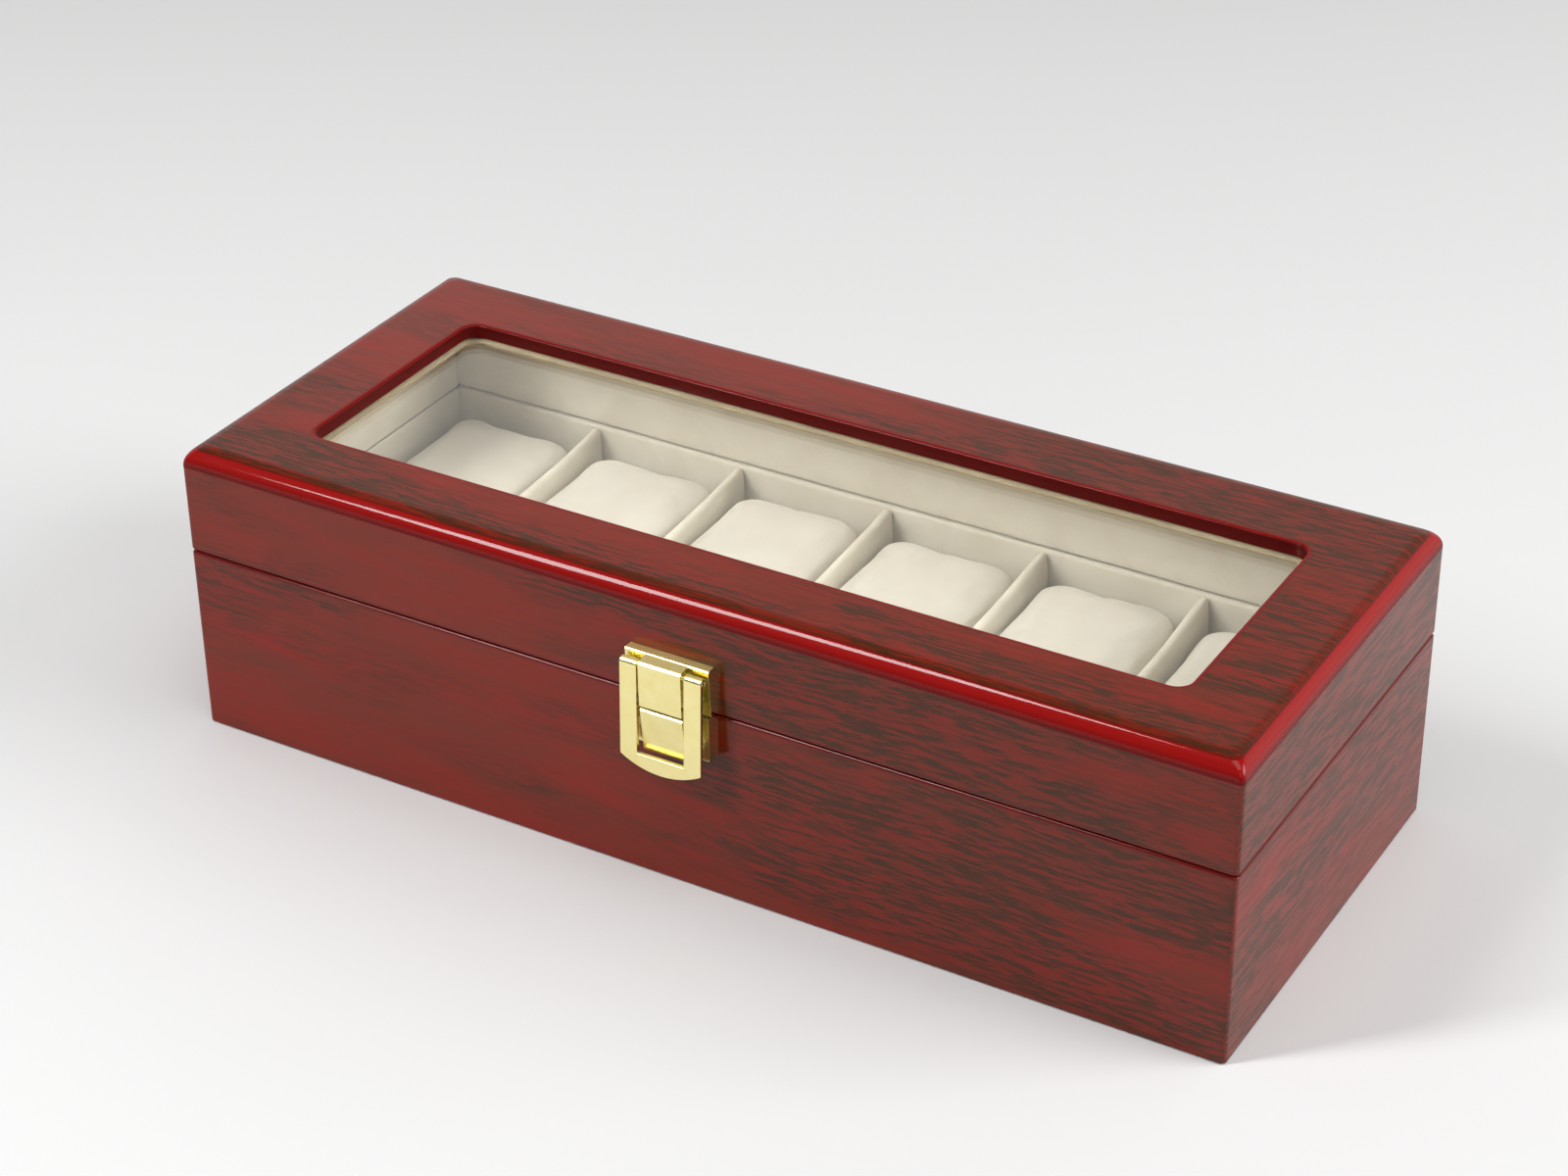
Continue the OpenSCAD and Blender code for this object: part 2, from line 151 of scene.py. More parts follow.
# The cushions: the block they start from, how far they stand out past the plain solid, and the
# cloth simulation, which runs on a form five times as large.
PILLOW_START = 0.8 * MM
PILLOW_EDGE_R = 3.6 * MM
PILLOW_CORNER_R = 6 * MM
PILLOW_CORNER_DROP = 0.7 * MM
PILLOW_CELL = 4 * MM
SIDE_SWELL = 0.5 * MM
CROWN = 1.6 * MM
SIM_SCALE = 5.0
SIM_VOXEL = 11 * MM
SIM_FRAMES = 20
SIM_CAP = 1.0 * MM


# ---------- node helpers ----------

# Blender's Mix node has one set of sockets for each kind of value: these are the colour ones.
MIX_A, MIX_B, MIX_RESULT = 6, 7, 2


class Tree:
    """A new material, and a short way to add and link its shader nodes."""

    def __init__(self, name):
        self.material = bpy.data.materials.new(name)
        self.material.use_nodes = True
        self.nodes = self.material.node_tree.nodes
        self.nodes.clear()
        self.output = self.nodes.new("ShaderNodeOutputMaterial")

    def link(self, source, target):
        self.material.node_tree.links.new(source, target)

    def node(self, kind, **values):
        """A node with its inputs set by name, or linked where the value is a socket."""
        made = self.nodes.new("ShaderNode" + kind)
        for name, value in values.items():
            self.put(made.inputs[name.replace("_", " ")], value)
        return made

    def put(self, socket, value):
        """Links the value where it is a socket, and sets it where it is a number or colour."""
        if isinstance(value, bpy.types.NodeSocket):
            self.link(value, socket)
        else:
            socket.default_value = value

    def own(self, output="Object"):
        """The piece's own coordinates, or its own normals for Normal."""
        return self.nodes.new("ShaderNodeTexCoord").outputs[output]

    def scaled(self, vector, scale):
        return self.node("Mapping", Vector=vector, Scale=scale).outputs["Vector"]

    def place(self, *scale):
        """The piece's own coordinates, scaled by one number or by three."""
        return self.scaled(self.own(), scale if len(scale) == 3 else scale * 3)

    def split(self, vector):
        """The X, Y and Z of a vector."""
        return self.node("SeparateXYZ", Vector=vector).outputs

    def attribute(self, name):
        made = self.nodes.new("ShaderNodeAttribute")
        made.attribute_name = name
        return made.outputs["Fac"]

    def noise(self, vector, detail, rough, warp=0.0):
        made = self.node("TexNoise", Vector=vector, Scale=1.0, Detail=detail, Roughness=rough,
                         Distortion=warp)
        return made.outputs["Fac"]

    def ramp(self, factor, *stops):
        """The factor turned into a colour by stops of (place, colour or grey value)."""
        made = self.nodes.new("ShaderNodeValToRGB")
        self.link(factor, made.inputs["Fac"])
        elements = made.color_ramp.elements
        while len(elements) < len(stops):
            elements.new(0.5)
        for element, (place, colour) in zip(elements, stops):
            element.position = place
            if not hasattr(colour, "__len__"):
                colour = (colour,) * 3
            element.color = (*colour, 1)
        return made.outputs["Color"]

    def mix(self, factor, first, second):
        """The first colour where the factor is 0, and the second where it is 1."""
        made = self.nodes.new("ShaderNodeMix")
        made.data_type = "RGBA"
        self.put(made.inputs["Factor"], factor)
        for socket, colour in ((MIX_A, first), (MIX_B, second)):
            if not isinstance(colour, bpy.types.NodeSocket):
                colour = (*colour, 1)
            self.put(made.inputs[socket], colour)
        return made.outputs[MIX_RESULT]

    def math(self, operation, first, second):
        made = self.nodes.new("ShaderNodeMath")
        made.operation = operation
        self.put(made.inputs[0], first)
        self.put(made.inputs[1], second)
        return made.outputs[0]

    def add(self, first, second):
        return self.math("ADD", first, second)

    def times(self, first, second):
        return self.math("MULTIPLY", first, second)

    def bump(self, height, strength, distance, under=None):
        """Normals bent by a height, on top of other bent normals where there are any."""
        made = self.node("Bump", Height=height, Strength=strength, Distance=distance)
        if under is not None:
            self.link(under, made.inputs["Normal"])
        return made.outputs["Normal"]

    def surface(self, **values):
        """Ends the material in a Principled shader with these inputs."""
        made = self.node("BsdfPrincipled", **values)
        self.link(made.outputs[0], self.output.inputs["Surface"])
        return self.material


# ---------- materials ----------

def wood_material(name, along):
    """Printed rosewood grain under deep red gloss lacquer. along is the grain's axis, 0 for X or 1 for Y.
    The attribute lacquer is 1 on rounded edges, where the print stops and only red lacquer shows, and
    lower on the rims along the parting line, which are also darkened with painted shade; the attribute
    shade is 1 where painted shade darkens that lacquer, and the coat is thinner there too."""
    t = Tree(name)

    def stretch(length, width):
        """Scales for a pattern that runs along the grain."""
        scale = [width] * 3
        scale[along] = length
        return scale

    # a slow sideways bend for all the grain
    bend = t.noise(t.place(*stretch(9, 22)), 3, 0.5)
    wave = t.node("VectorMath")
    wave.operation = "ADD"
    t.link(t.own(), wave.inputs[0])
    push = t.node("CombineXYZ")
    shift = t.times(t.math("SUBTRACT", bend, 0.5), 0.010)
    for axis in range(3):
        if axis != along:
            t.link(shift, push.inputs[axis])
    t.link(push.outputs[0], wave.inputs[1])

    def grain(length, width, detail, rough):
        """Noise drawn out along the bent grain: length and width are how often it changes a metre."""
        return t.noise(t.scaled(wave.outputs[0], stretch(length, width)), detail, rough)

    # dark bands, mostly high on the sides, and more of them to the right as painted shade away from the
    # light on the left; strokes and hairs are drawn inside them
    place = t.split(t.own())
    height = t.ramp(t.times(place["Z"], 10.0), (0.18, 0.0), (0.42, 1.0))
    # the X term is painted shade: darker towards the right
    band_bias_with_painted_shade = t.add(t.times(height, 0.075), t.times(place["X"], 0.50))
    patches_with_painted_shade = t.ramp(t.add(grain(8, 42, 3, 0.55), band_bias_with_painted_shade), (0.44, 0.0), (0.62, 1.0))
    strokes = t.ramp(grain(75, 900, 4, 0.66), (0.46, 0.0), (0.53, 1.0))
    hairs = t.ramp(grain(140, 1900, 2, 0.5), (0.46, 0.0), (0.62, 1.0))
    stray = t.ramp(grain(60, 1100, 2, 0.5), (0.62, 0.0), (0.72, 1.0))
    marks = t.add(t.times(strokes, 0.62), t.times(hairs, 0.26))
    dark = t.add(t.times(patches_with_painted_shade, t.add(marks, 0.14)), t.times(stray, 0.22))
    red = t.ramp(grain(14, 90, 4, 0.6), *WOOD_REDS)
    print_with_painted_shade = t.mix(t.math("MINIMUM", dark, 0.92), red, GRAIN_DARK)

    # the rims and rounded edges have no print; the rims along the parting line are also darkened with
    # painted shade
    lacquer = t.attribute("lacquer")
    bare = t.ramp(lacquer, (0.35, 0.0), (0.60, 1.0))
    rim_painted_shade = t.ramp(lacquer, (0.30, 0.0), (0.45, 1.0), (0.62, 0.0))
    colour = t.mix(bare, print_with_painted_shade, LACQUER_RED)
    colour = t.mix(t.times(rim_painted_shade, 0.55), colour, LACQUER_RIM_SHADE)
    # painted shade on the lacquer, at the foot of the rounded top edge and on the window's walls, where
    # the coat is also thinner
    painted_shade = t.attribute("shade")

    return t.surface(
        Base_Color=t.mix(painted_shade, colour, LACQUER_PAINTED_SHADE),
        Roughness=t.add(t.times(strokes, 0.10), 0.42),
        Specular_IOR_Level=0.05,
        Coat_Weight=t.math("SUBTRACT", 0.56, t.times(painted_shade, 0.48)),
        Coat_Roughness=0.05,
        Coat_IOR=1.5,
        Coat_Normal=t.bump(t.noise(t.place(60), 2, 0.5), 0.06, 0.0006),
    )


def velvet_material(name, light, shade, pile=0.35):
    """Short-pile velvet: mottled nap between two colours, painted shade in the hollows between the fibres,
    fine fibre bump and a soft sheen.
    """
    t = Tree(name)
    nap = t.noise(t.place(55, 40, 70), 4, 0.6, 0.6)
    fibre = t.noise(t.place(2600), 2, 0.6)
    weave = t.noise(t.place(900, 1200, 900), 3, 0.6)
    mottled = t.mix(t.ramp(nap, (0.35, 0.0), (0.65, 1.0)), shade, light)
    # painted shade: darker where the fibre bump is low, between the fibres
    between = t.times(t.ramp(fibre, (0.35, 1.0), (0.65, 0.0)), 0.10)
    return t.surface(
        Base_Color=t.mix(between, mottled, tuple(c * 0.72 for c in shade)),
        Roughness=t.add(t.times(nap, 0.12), 0.80),
        Specular_IOR_Level=0.25,
        Sheen_Weight=0.45,
        Sheen_Roughness=0.45,
        Sheen_Tint=VELVET_SHEEN,
        Normal=t.bump(fibre, pile, 0.0002, t.bump(weave, pile, 0.0003)),
    )


def felt_material():
    """Dark felt under the base."""
    t = Tree("felt")
    fibre = t.noise(t.place(900), 5, 0.7, 1.0)
    return t.surface(
        Base_Color=t.ramp(fibre, *FELT_COLOURS),
        Roughness=0.95,
        Sheen_Weight=0.3,
        Normal=t.bump(fibre, 0.6, 0.0006),
    )


def gold_material(name, rough=0.20):
    """Gold plating: polished upright faces, satin on top, with faint brushing and haze."""
    t = Tree(name)
    brush = t.noise(t.place(2200, 2200, 160), 3, 0.6)
    haze = t.noise(t.place(260), 4, 0.6)
    satin = t.ramp(t.split(t.own("Normal"))["Z"], (0.75, 0.0), (0.97, 1.0))
    polish = t.add(t.times(haze, 0.10), rough - 0.04)
    return t.surface(
        Base_Color=t.ramp(haze, *GOLD_COLOURS),
        Metallic=1.0,
        Roughness=t.add(polish, t.times(satin, 0.38)),
        Normal=t.bump(brush, 0.03, 0.0002),
    )


def glass_material():
    """Clear float glass with a faint green tint, dust and wipe marks; it lets lamps through."""
    t = Tree("glass")
    smear = t.noise(t.place(26, 60, 26), 4, 0.6, 0.4)
    body = t.node("BsdfPrincipled", Base_Color=GLASS_TINT, Transmission_Weight=1.0, IOR=1.45,
                  Roughness=t.ramp(smear, (0.55, 0.0), (0.95, 0.02)))
    clear = t.node("BsdfTransparent", Color=GLASS_SHADOW)
    light = t.nodes.new("ShaderNodeLightPath")
    mixed = t.nodes.new("ShaderNodeMixShader")
    t.link(light.outputs["Is Shadow Ray"], mixed.inputs[0])
    t.link(body.outputs[0], mixed.inputs[1])
    t.link(clear.outputs[0], mixed.inputs[2])
    t.link(mixed.outputs[0], t.output.inputs["Surface"])
    return t.material


def floor_material():
    """The pale studio floor."""
    t = Tree("floor")
    cloud = t.noise(t.place(1.4), 3, 0.5)
    return t.surface(
        Base_Color=t.ramp(cloud, *FLOOR_COLOURS),
        Roughness=0.75,
        Specular_IOR_Level=0.2,
    )


WOOD_X = wood_material("lacquered_wood_lengthwise", 0)
WOOD_Y = wood_material("lacquered_wood_crosswise", 1)
LINING = velvet_material("cream_velvet", *LINING_COLOURS)
PILLOW = velvet_material("cushion_velvet", *PILLOW_COLOURS, 0.25)
# the glass frame's inner edge: the cream velvet darkened as painted shade
FRAME_EDGE_SHADED = velvet_material("frame_velvet_painted_shade", *FRAME_EDGE_SHADE_COLOURS)
FELT = felt_material()
GOLD = gold_material("gold_plating")
SCREW_GOLD = gold_material("brass_screws", 0.30)
GLASS = glass_material()


# ---------- mesh helpers ----------

def add_piece(name, bm, material, body, nodes, sharp=35):
    """Makes a piece of a finished bmesh, smooth-shaded but for edges sharper than the given angle."""
    bmesh.ops.recalc_face_normals(bm, faces=bm.faces)
    for face in bm.faces:
        face.smooth = True
    for edge in bm.edges:
        edge.smooth = len(edge.link_faces) == 2 and edge.calc_face_angle(0) < math.radians(sharp)
    mesh = bpy.data.meshes.new(name)
    bm.to_mesh(mesh)
    bm.free()
    mesh.materials.append(material)
    piece = bpy.data.objects.new(name, mesh)
    bpy.context.scene.collection.objects.link(piece)
    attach(piece, body)
    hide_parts(*nodes)
    return piece


def bake_modifiers(piece):
    """Puts the result of the piece's modifiers into its mesh."""
    made = bpy.data.meshes.new_from_object(piece.evaluated_get(bpy.context.evaluated_depsgraph_get()))
    piece.modifiers.clear()
    piece.data = made


def shade_smooth(piece):
    for polygon in piece.data.polygons:
        polygon.use_smooth = True


def weigh_normals(piece):
    """Keeps large flat faces flat-looking next to rounded edges."""
    weigh = piece.modifiers.new("weigh", "WEIGHTED_NORMAL")
    weigh.keep_sharp = True
    weigh.weight = 80
    bake_modifiers(piece)


# ---------- lofted rings: walls, lid board and frames ----------

# Every corner of a ring has the points of its arc, with one before and one after them, FADE away.
ARC = 8
FADE = 1.6 * MM
PER_CORNER = ARC + 3
MITRE = PER_CORNER // 2
SIDES = {"right": 0, "back": 1, "left": 2, "front": 3}


def contour(half_x, half_y, radius, centre_y=0.0):
    """The points of a rounded rectangle, from the front right corner on, counter-clockwise."""
    points = []
    for quadrant in range(4):
        side_x = 1 if quadrant in (0, 1) else -1
        side_y = 1 if quadrant in (1, 2) else -1
        middle = Vector((side_x * (half_x - radius), centre_y + side_y * (half_y - radius)))
        start = math.radians(90 * quadrant - 90)
        arc = [middle + radius * Vector((math.cos(a), math.sin(a)))
               for a in (start + QUARTER_TURN * k / ARC for k in range(ARC + 1))]
        into = Vector((-math.sin(start), math.cos(start)))
        out = Vector((-math.cos(start), -math.sin(start)))
        points += [arc[0] - into * FADE] + arc + [arc[-1] + out * FADE]
    return points


def loft(levels, side=None):
    """A closed section swept round a rounded rectangle. Each level is (contour points, height, lacquer,
    shade). side limits it to one mitred side of the ring."""
    bm = bmesh.new()
    lacquer_layer = bm.verts.layers.float.new("lacquer")
    shade_layer = bm.verts.layers.float.new("shade")
    count = 4 * PER_CORNER
    if side is None:
        order = list(range(count))
    else:
        first = SIDES[side] * PER_CORNER + MITRE
        order = [(first + k) % count for k in range(PER_CORNER + 1)]
    rings = []
    for points, height, lacquer, shade in levels:
        ring = []
        for index in order:
            vert = bm.verts.new((*points[index], height))
            vert[lacquer_layer] = lacquer
            vert[shade_layer] = shade
            ring.append(vert)
        rings.append(ring)
    steps = len(order) if side is None else len(order) - 1
    for a, b in zip(rings, rings[1:] + rings[:1]):
        for k in range(steps):
            n = (k + 1) % len(order)
            bm.faces.new((a[k], a[n], b[n], b[k]))
    if side is not None:
        bm.faces.new([ring[0] for ring in rings])
        bm.faces.new([ring[-1] for ring in rings])
    return bm


def outer(inset, height, lacquer=0.0, shade=0.0):
    """A level of the box's outer skin, inset from its side faces."""
    radius = CORNER_R + 0.45 * inset
    return contour(HALF_L - inset, HALF_D - inset, radius), height, lacquer, shade


def inner(inset, height, lacquer=0.0):
    """A level of the walls' inner skin, with nearly sharp corners."""
    return contour(HALF_L - inset, HALF_D - inset, INNER_CORNER_R), height, lacquer, 0.0


def window(outset, height, lacquer=0.0, shade=0.0):
    """A level round the lid's window, outset from its sides."""
    points = contour(WINDOW_HALF[0] + outset, WINDOW_HALF[1] + outset, WINDOW_R + outset, WINDOW_Y)
    return points, height, lacquer, shade


def quarter(steps, radius):
    """(sideways, upwards) along a quarter round that starts upright."""
    angles = [QUARTER_TURN * k / steps for k in range(steps + 1)]
    return [(radius * (1 - math.cos(a)), radius * math.sin(a)) for a in angles]


def worn_in(angle):
    """The lacquer on the rounded top edge: full on its side, fading towards the flat top."""
    return min(1.0, max(0.0, (74 - angle) / 31))


def edge_painted_shade(angle):
    """Painted shade on the lacquer of the rounded top edge: darkest at its foot, which faces the front and
    gets less light, and none from halfway up.
    """
    return max(0.0, 0.85 - angle / 36)


def base_levels():
    """The section of the base walls, up the outer skin and down the inner one."""
    low, top = WALL_LOW.z, WALL_HIGH.z
    levels = [outer(s, low + FOOT_R - u) for s, u in reversed(quarter(FOOT_STEPS, FOOT_R))]
    levels.append(outer(0, top - RIM_R - FADE))
    # the rims at the top, outside and inside, carry painted shade through the lacquer attribute
    levels += [outer(s, top - RIM_R + u, SHADED_RIM) for s, u in quarter(RIM_STEPS, RIM_R)]
    levels.append(inner(WALL - RIM_INNER, top, SHADED_RIM))
    levels.append(inner(WALL, top - RIM_INNER, SHADED_RIM))
    levels.append(inner(WALL, low))
    return levels


def rail_levels():
    """The section of the lid's rails, up the outer skin and down the inner one."""
    low, top = RAIL_LOW.z, RAIL_HIGH.z
    # the rims at the foot, outside and inside, carry painted shade through the lacquer attribute
    levels = [outer(s, low + RIM_R - u, SHADED_RIM) for s, u in reversed(quarter(RIM_STEPS, RIM_R))]
    levels.append(outer(0, low + RIM_R + FADE))
    levels.append(outer(0, top))
    levels.append(inner(WALL, top))
    levels.append(inner(WALL, low + RIM_INNER, SHADED_RIM))
    levels.append(inner(WALL - RIM_INNER, low, SHADED_RIM))
    return levels


def panel_levels():
    """The section of the lid's top board: rounded edge, flat top, and the window with its rabbet."""
    low, top = PANEL_LOW.z, PANEL_HIGH.z
    levels = [outer(0, low)]
    for k, (s, u) in enumerate(quarter(EDGE_STEPS, EDGE_R)):
        angle = 90 * k / EDGE_STEPS
        levels.append(outer(s, top - EDGE_R + u, worn_in(angle), edge_painted_shade(angle)))
    levels.append(outer(EDGE_R + EDGE_RUNOUT, top))
    levels.append(window(WINDOW_LIP + EDGE_RUNOUT, top))
    # the window's lip and walls: plain red lacquer darkened with painted shade, more down the walls
    levels += [window(WINDOW_LIP - u, top - s, 1.0, 0.5 + 0.5 * s / WINDOW_LIP)
               for s, u in quarter(RIM_STEPS, WINDOW_LIP)]
    levels.append(window(0, GLASS_HIGH.z, 1.0, WINDOW_SHADE))
    levels.append(window(RABBET, GLASS_HIGH.z, 1.0, WINDOW_SHADE))
    levels.append(window(RABBET, low, 1.0, WINDOW_SHADE))
    return levels


def cut(piece, tools):
    """Takes the tool shapes out of a piece, exactly."""
    for tool in tools:
        mesh = bpy.data.meshes.new("tool")
        bmesh.ops.recalc_face_normals(tool, faces=tool.faces)
        tool.to_mesh(mesh)
        tool.free()
        cutter = bpy.data.objects.new("tool", mesh)
        bpy.context.scene.collection.objects.link(cutter)
        modifier = piece.modifiers.new("cut", "BOOLEAN")
        modifier.operation = "DIFFERENCE"
        modifier.solver = "EXACT"
        modifier.object = cutter
        bake_modifiers(piece)
        bpy.data.objects.remove(cutter)


def mortise(leaf_node, low_z):
    """The pocket for one hinge leaf, as a tool shape open to the rim and the back."""
    low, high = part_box(leaf_node)
    bm = bmesh.new()
    bmesh.ops.create_cube(bm, size=1.0)
    low = Vector((low.x, low.y, low_z))
    high = Vector((high.x, HALF_D + POCKET_PAST_BACK, low.z + (POCKET_DEEP + POCKET_PAST_RIM)))
    for vert in bm.verts:
        vert.co = Vector((low[i] + (vert.co[i] + 0.5) * (high[i] - low[i]) for i in range(3)))
    return bm


def wooden_shell():
    """The base's four walls, the lid's four rails and its top board, with the hinges' pockets."""
    for side in SIDES:
        material = WOOD_X if side in ("front", "back") else WOOD_Y
        wall = add_piece(f"wood_base_{side}", loft(base_levels(), side), material, "base",
                         [f"base_{side}_wall"])
        rail = add_piece(f"wood_lid_{side}", loft(rail_levels(), side), material, "lid",
                         [f"lid_{side}_rail"])
        if side == "back":
            cut(wall, [mortise(f"hinge_{s}_base_leaf", WALL_HIGH.z - POCKET_DEEP)
                       for s in ("left", "right")])
            cut(rail, [mortise(f"hinge_{s}_lid_leaf", RAIL_LOW.z - POCKET_PAST_RIM)
                       for s in ("left", "right")])
        weigh_normals(wall)
        weigh_normals(rail)
    panel = add_piece("wood_lid_top", loft(panel_levels()), WOOD_X, "lid",
                      ["lid_top_panel"])
    weigh_normals(panel)


# ---------- soft blocks: boards, dividers and cushions ----------

ROUND_STEPS = 5


def ticks(low, high, radius, cell):
    """Grid places along one axis, close together within the rounded ends."""
    ends = [radius * (1 - math.cos(QUARTER_TURN * k / ROUND_STEPS)) for k in range(ROUND_STEPS + 1)]
    inside = max(1, round((high - low - 2 * radius) / cell))
    middle = [low + radius + (high - low - 2 * radius) * k / inside for k in range(1, inside)]
    return [low + e for e in ends] + middle + [high - e for e in reversed(ends)]


def soft_block(low, high, radius, cell, shape=None):
    """A box with rounded edges on a grid fine enough to shape. shape moves each point."""
    bm = bmesh.new()
    places = [ticks(low[i], high[i], radius, cell) for i in range(3)]
    counts = [len(p) for p in places]
    found = {}

    def vert(i, j, k):
        if (i, j, k) not in found:
            p = Vector((places[0][i], places[1][j], places[2][k]))
            core = Vector(min(max(p[a], low[a] + radius), high[a] - radius) for a in range(3))
            away = p - core
            if away.length > 1e-9:
                p = core + away.normalized() * radius
            found[i, j, k] = bm.verts.new(shape(p) if shape else p)
        return found[i, j, k]

    for axis in range(3):
        u, v = [a for a in range(3) if a != axis]
        for end in (0, counts[axis] - 1):
            for a in range(counts[u] - 1):
                for b in range(counts[v] - 1):
                    corners = []
                    for da, db in ((0, 0), (1, 0), (1, 1), (0, 1)):
                        index = [0, 0, 0]
                        index[axis], index[u], index[v] = end, a + da, b + db
                        corners.append(vert(*index))
                    bm.faces.new(corners)
    return bm


# noise_vector takes its offsets from the clock unless a seed is set, and each run would differ.
noise.seed_set(1)


def unevenness(point, seed, scale, amount):
    """A small smooth push in all directions."""
    return noise.noise_vector(point * scale + Vector((seed * 7.3, seed * 3.1, seed))) * amount


def boards():
    """Velvet-covered boards on the walls and the floor of the base and the lid."""
    for part in ("base", "lid"):
        for number, side in enumerate(SIDES):
            node = f"{part}_liner_{side}"
            low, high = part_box(node)

            def shape(p, number=number):
                return p + unevenness(p, number + 1, 45, 0.16 * MM)
            radius = min(BOARD_R, 0.45 * min(high - low))
            add_piece(f"velvet_{part}_{side}", soft_block(low, high, radius, BOARD_CELL, shape),
                      LINING, part, [node], 80)
    low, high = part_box("base_floor_liner")
    add_piece("velvet_floor", soft_block(low, high, FLOOR_BOARD_R, FLOOR_BOARD_CELL), LINING, "base",
              ["base_floor_liner"], 80)


def dividers():
    """Padded dividers whose top edge dips towards the middle."""
    for number in range(1, 6):
        node = f"divider_{number}"
        low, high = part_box(node)
        half = (high.y - low.y) / 2

        def shape(p, low=low, high=high, half=half, number=number):
            rise = (p.z - low.z) / (high.z - low.z)
            near_top = max(0.0, 1 - (high.z - p.z) / DIVIDER_THINS_OVER)
            middle = (low.x + high.x) / 2
            thinner = 1 - DIVIDER_THINS_BY * near_top ** 1.5
            p = Vector((middle + (p.x - middle) * thinner, p.y, p.z))
            away = p.y / half
            dip = DIVIDER_DIP * (1 - away * away) * rise
            soft = unevenness(p, number + 10, 40, 0.30 * MM)
            return Vector((p.x + soft.x, p.y, p.z - dip))
        block = soft_block(low, high, DIVIDER_R, DIVIDER_CELL, shape)
        add_piece(f"velvet_divider_{number}", block, LINING, "base", [node], 80)


def glass_frame():
    """The velvet-covered frame under the glass: a board, and a strip round its soft inner edge in darker
    velvet, which is painted shade under the rabbet.
    """
    low, high, r = FRAME_LOW.z, FRAME_HIGH.z, FRAME_SOFT_R
    board = [inner(WALL, low), inner(WALL, high), window(FRAME_SEAM, high), window(FRAME_SEAM, low)]
    add_piece("velvet_glass_frame", loft(board), LINING, "lid", ["glass_frame"], 50)
    edge = [window(FRAME_SEAM, low), window(FRAME_SEAM, high), window(r, high)]
    edge += [window(r - math.sin(a) * r, (low + high) / 2 + math.cos(a) * r)
             for a in (math.radians(180) * k / 8 for k in range(1, 8))]
    edge.append(window(r, low))
    add_piece("velvet_frame_edge", loft(edge), FRAME_EDGE_SHADED, "lid", ["glass_frame"], 50)


# ---------- cushions ----------

def blow_up(piece, seed):
    """Swells a closed form as a stuffed pillow, by cloth simulation at a larger scale."""
    piece.data.transform(Matrix.Scale(SIM_SCALE, 4))
    remesh = piece.modifiers.new("remesh", "REMESH")
    remesh.mode = "VOXEL"
    remesh.voxel_size = SIM_VOXEL
    remesh.use_smooth_shade = True
    bake_modifiers(piece)
    start = [v.co.copy() for v in piece.data.vertices]
    cloth = piece.modifiers.new("cloth", "CLOTH")
    settings = cloth.settings
    settings.quality = 6
    settings.mass = 0.3
    settings.tension_stiffness = 22
    settings.compression_stiffness = 10
    settings.bending_stiffness = 1.4
    settings.use_pressure = True
    settings.uniform_pressure_force = 3.6 + 0.5 * math.sin(seed * 2.1)
    settings.effector_weights.gravity = 0
    cloth.collision_settings.use_collision = False
    cloth.point_cache.frame_start = 1
    cloth.point_cache.frame_end = SIM_FRAMES
    for step in range(1, SIM_FRAMES + 1):
        bpy.context.scene.frame_set(step)
    bake_modifiers(piece)
    bpy.context.scene.frame_set(1)
    cap = SIM_CAP * SIM_SCALE
    for vert, before in zip(piece.data.vertices, start):
        push = vert.co - before
        if push.length > cap:
            vert.co = before + push.normalized() * cap
    piece.data.transform(Matrix.Scale(1 / SIM_SCALE, 4))


def round_corner(point, low, high):
    """Rounds a block's four upright corners, and lowers the top a little towards them."""
    radius = PILLOW_CORNER_R
    middle = (low + high) / 2
    over = [abs(point[i] - middle[i]) - ((high[i] - low[i]) / 2 - radius) for i in range(2)]
    if min(over) <= 0:
        return point
    pull = max(over) / math.hypot(*over)
    moved = point.copy()
    for i in range(2):
        moved[i] -= math.copysign(over[i] * (1 - pull), point[i] - middle[i])
    lift = (point.z - low.z) / (high.z - low.z)
    moved.z -= PILLOW_CORNER_DROP * lift * min(over) / radius
    return moved


def fit_between(piece, low, high):
    """Scales a pillow evenly along each axis so that it fills its place and no more."""
    coords = [v.co for v in piece.data.vertices]
    for axis in range(3):
        lo, hi = min(c[axis] for c in coords), max(c[axis] for c in coords)
        factor = (high[axis] - low[axis]) / (hi - lo)
        for c in coords:
            c[axis] = low[axis] + (c[axis] - lo) * factor


def cushions():
    """Six stuffed pillows, one riding on each of the lift-out bodies."""
    for number in range(1, 7):
        node = f"cushion_{number}"
        low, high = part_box(node)
        middle = (low + high) / 2
        start = PILLOW_START
        a = Vector((low.x + start, low.y + start, low.z + start / 2)) - middle
        b = Vector((high.x - start, high.y - start, high.z - start)) - middle

        def shape(p, number=number, a=a, b=b):
            return round_corner(p, a, b) + unevenness(p, number + 30, 28, 0.6 * MM)
        block = soft_block(a, b, PILLOW_EDGE_R, PILLOW_CELL, shape)
        pillow = add_piece(f"pillow_{number}", block, PILLOW, f"pillow_{number}", [node],
                           180)
        blow_up(pillow, number)
        fit_between(pillow, low - middle - Vector((SIDE_SWELL, SIDE_SWELL, 0)),
                    high - middle + Vector((SIDE_SWELL, SIDE_SWELL, CROWN)))
        sub = pillow.modifiers.new("sub", "SUBSURF")
        sub.levels = sub.render_levels = 1
        bake_modifiers(pillow)
        pillow.data.transform(Matrix.Translation(middle))
        shade_smooth(pillow)


# ---------- metal ----------

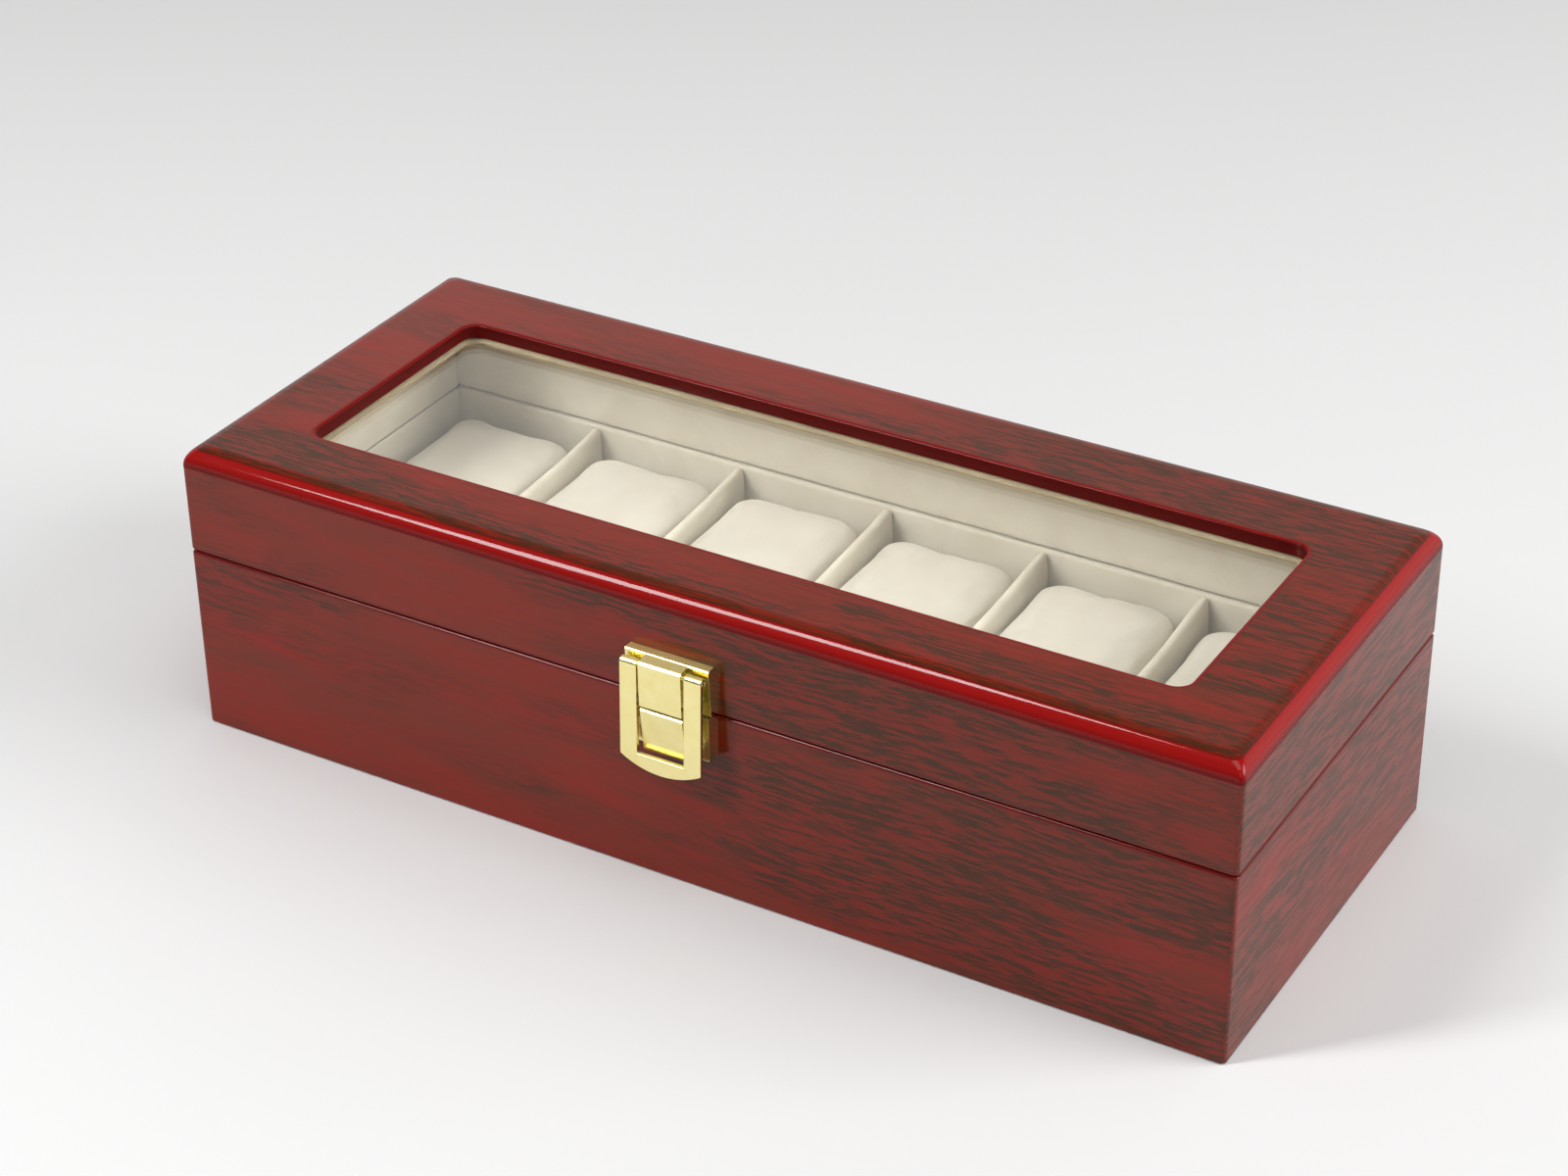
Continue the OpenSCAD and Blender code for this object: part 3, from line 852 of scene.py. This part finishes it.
def softened(node, body, material, width):
    """A copy of a CAD metal part with its edges rounded, shown in its place."""
    bm = bmesh.new()
    bm.from_mesh(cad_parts[node].data)
    bmesh.ops.remove_doubles(bm, verts=bm.verts, dist=1e-6)
    bmesh.ops.dissolve_limit(bm, angle_limit=math.radians(2), verts=bm.verts, edges=bm.edges)
    piece = add_piece(f"metal_{node}", bm, material, body, [node], 30)
    bevel = piece.modifiers.new("bevel", "BEVEL")
    bevel.width = width
    bevel.segments = 3
    bevel.limit_method = "ANGLE"
    bevel.angle_limit = math.radians(35)
    bevel.use_clamp_overlap = True
    bevel.harden_normals = False
    bake_modifiers(piece)
    shade_smooth(piece)
    weigh_normals(piece)


def metalwork():
    """The clasp, the hinges, and their pins, nails and screws, each with the width of its bevels in mm."""
    for node, body, width in (
        ("latch_flap", "clasp_flap", 0.22), ("latch_plate", "lid", 0.22),
        ("latch_keeper", "base", 0.22), ("latch_pin", "lid", 0.15),
        ("latch_plate_nails", "lid", 0.12), ("latch_keeper_nails", "base", 0.12),
        ("hinge_left_base_leaf", "base", 0.15), ("hinge_right_base_leaf", "base", 0.15),
        ("hinge_left_lid_leaf", "lid", 0.15), ("hinge_right_lid_leaf", "lid", 0.15),
        ("hinge_left_pin", "base", 0.25), ("hinge_right_pin", "base", 0.25),
        ("base_hinge_screws", "base", 0.08), ("lid_hinge_screws", "lid", 0.08),
    ):
        material = SCREW_GOLD if "screws" in node or "nails" in node else GOLD
        softened(node, body, material, width * MM)


# ---------- carried CAD nodes ----------

def carried():
    """CAD parts shown as they are, each with its material: the glass pane, the felt and the base's bottom
    panel. CAD parts shown as they are: flat, plain or hidden.
    """
    for node, material in (("glass_pane", GLASS), ("base_felt", FELT), ("base_bottom_panel", WOOD_X)):
        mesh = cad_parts[node].data
        mesh.materials.clear()
        mesh.materials.append(material)


# ---------- stage ----------

def aim(thing, forward, roll=0.0):
    """Turns a camera or lamp to look along forward."""
    right = forward.cross(Vector((0, 0, 1))).normalized()
    up = right.cross(forward)
    turned_right = right * math.cos(roll) + up * math.sin(roll)
    turned_up = up * math.cos(roll) - right * math.sin(roll)
    place = thing.location.copy()
    thing.matrix_world = Matrix((turned_right, turned_up, -forward)).transposed().to_4x4()
    thing.location = place


def camera():
    """The photograph's view."""
    data = bpy.data.cameras.new("camera")
    data.lens = LENS_MM
    data.sensor_width = SENSOR_MM
    data.clip_start = CLIP_NEAR
    data.clip_end = CLIP_FAR
    thing = bpy.data.objects.new("camera", data)
    bpy.context.scene.collection.objects.link(thing)
    thing.location = CAMERA_AT
    azimuth, down = math.radians(CAMERA_AZIMUTH), math.radians(CAMERA_DOWN)
    forward = Vector((math.sin(azimuth) * math.cos(down), math.cos(azimuth) * math.cos(down),
                      -math.sin(down)))
    aim(thing, forward, math.radians(CAMERA_ROLL))
    bpy.context.scene.camera = thing


def lamp(name, direction, distance, size, power):
    """A softbox that looks at the middle of the box from a direction."""
    data = bpy.data.lights.new(name, "AREA")
    data.shape = "RECTANGLE"
    data.size, data.size_y = size
    data.energy = power
    thing = bpy.data.objects.new(name, data)
    bpy.context.scene.collection.objects.link(thing)
    towards = Vector(direction).normalized()
    thing.location = LAMP_TARGET + towards * distance
    aim(thing, -towards)


def surroundings():
    """A pale horizon that darkens overhead and towards the front."""
    world = bpy.data.worlds.new("studio")
    world.use_nodes = True
    tree = world.node_tree
    tree.nodes.clear()
    where = tree.nodes.new("ShaderNodeTexCoord")
    split = tree.nodes.new("ShaderNodeSeparateXYZ")
    ramp = tree.nodes.new("ShaderNodeValToRGB")
    back = tree.nodes.new("ShaderNodeBackground")
    out = tree.nodes.new("ShaderNodeOutputWorld")
    tree.links.new(where.outputs["Generated"], split.inputs[0])
    tree.links.new(split.outputs[2], ramp.inputs[0])
    side = tree.nodes.new("ShaderNodeMapRange")
    side.inputs["From Min"].default_value = SKY_FRONT
    side.inputs["From Max"].default_value = SKY_BACK
    side.inputs["To Min"].default_value = SKY_FRONT_STRENGTH
    tree.links.new(split.outputs[1], side.inputs["Value"])
    tree.links.new(ramp.outputs[0], back.inputs[0])
    tree.links.new(side.outputs["Result"], back.inputs[1])
    tree.links.new(back.outputs[0], out.inputs[0])
    elements = ramp.color_ramp.elements
    while len(elements) < len(SKY):
        elements.new(0.5)
    for element, (place, value) in zip(elements, SKY):
        element.position = place
        element.color = (value, value, value * 0.98, 1)
    bpy.context.scene.world = world


def stage():
    """The floor."""
    bm = bmesh.new()
    bmesh.ops.create_grid(bm, x_segments=8, y_segments=8, size=FLOOR_HALF)
    mesh = bpy.data.meshes.new("floor")
    bm.to_mesh(mesh)
    bm.free()
    mesh.materials.append(floor_material())
    floor = bpy.data.objects.new("floor", mesh)
    bpy.context.scene.collection.objects.link(floor)


camera()
surroundings()
stage()
for one in LAMPS:
    lamp(*one)
bpy.context.scene.view_settings.view_transform = "Standard"

wooden_shell()
boards()
dividers()
glass_frame()
cushions()
metalwork()
carried()
